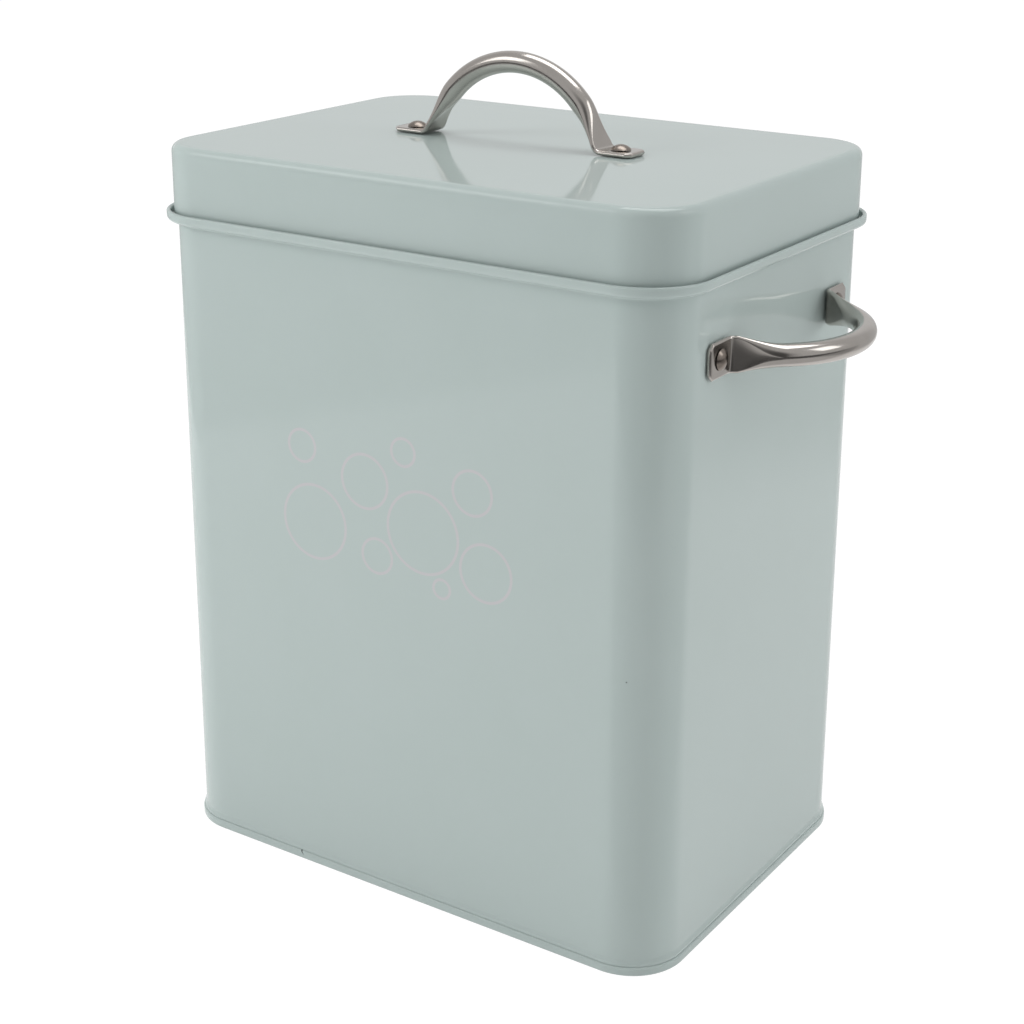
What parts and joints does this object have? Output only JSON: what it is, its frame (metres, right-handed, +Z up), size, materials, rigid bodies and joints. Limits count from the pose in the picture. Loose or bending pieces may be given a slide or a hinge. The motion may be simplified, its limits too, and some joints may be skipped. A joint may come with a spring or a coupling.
{
  "type": "laundry powder container",
  "caption": "Upright rectangular enamelled metal storage box with round corners, slip lid, riveted tube handle on the lid and a matching handle on each short side.",
  "frame": {"origin": "on the floor under the middle of the box", "axes": "+Z up, X along the long side and from handle to handle, the front faces -Y"},
  "size_m": [0.2798, 0.1594, 0.3029],
  "materials": {
    "enamel": "glossy pale duck-egg enamel on tinplate",
    "handle_steel": "satin stainless tube",
    "rivet_steel": "satin steel rivet"
  },
  "bodies": {
    "container": {"body_shell": "enamel", "base": "enamel", "neck_collar": "enamel", "side_handle_right": "handle_steel", "side_handle_right_rivet_a": "rivet_steel", "side_handle_right_rivet_b": "rivet_steel", "side_handle_left": "handle_steel", "side_handle_left_rivet_a": "rivet_steel", "side_handle_left_rivet_b": "rivet_steel"},
    "lid": {"lid": "enamel", "lid_handle": "handle_steel", "lid_handle_rivet_a": "rivet_steel", "lid_handle_rivet_b": "rivet_steel"}
  },
  "joints": [
    {"name": "lid_lift", "type": "slide", "parent": "container", "child": "lid", "axis": [0, 0, 1], "range_m": [0, 0.06]}
  ]
}
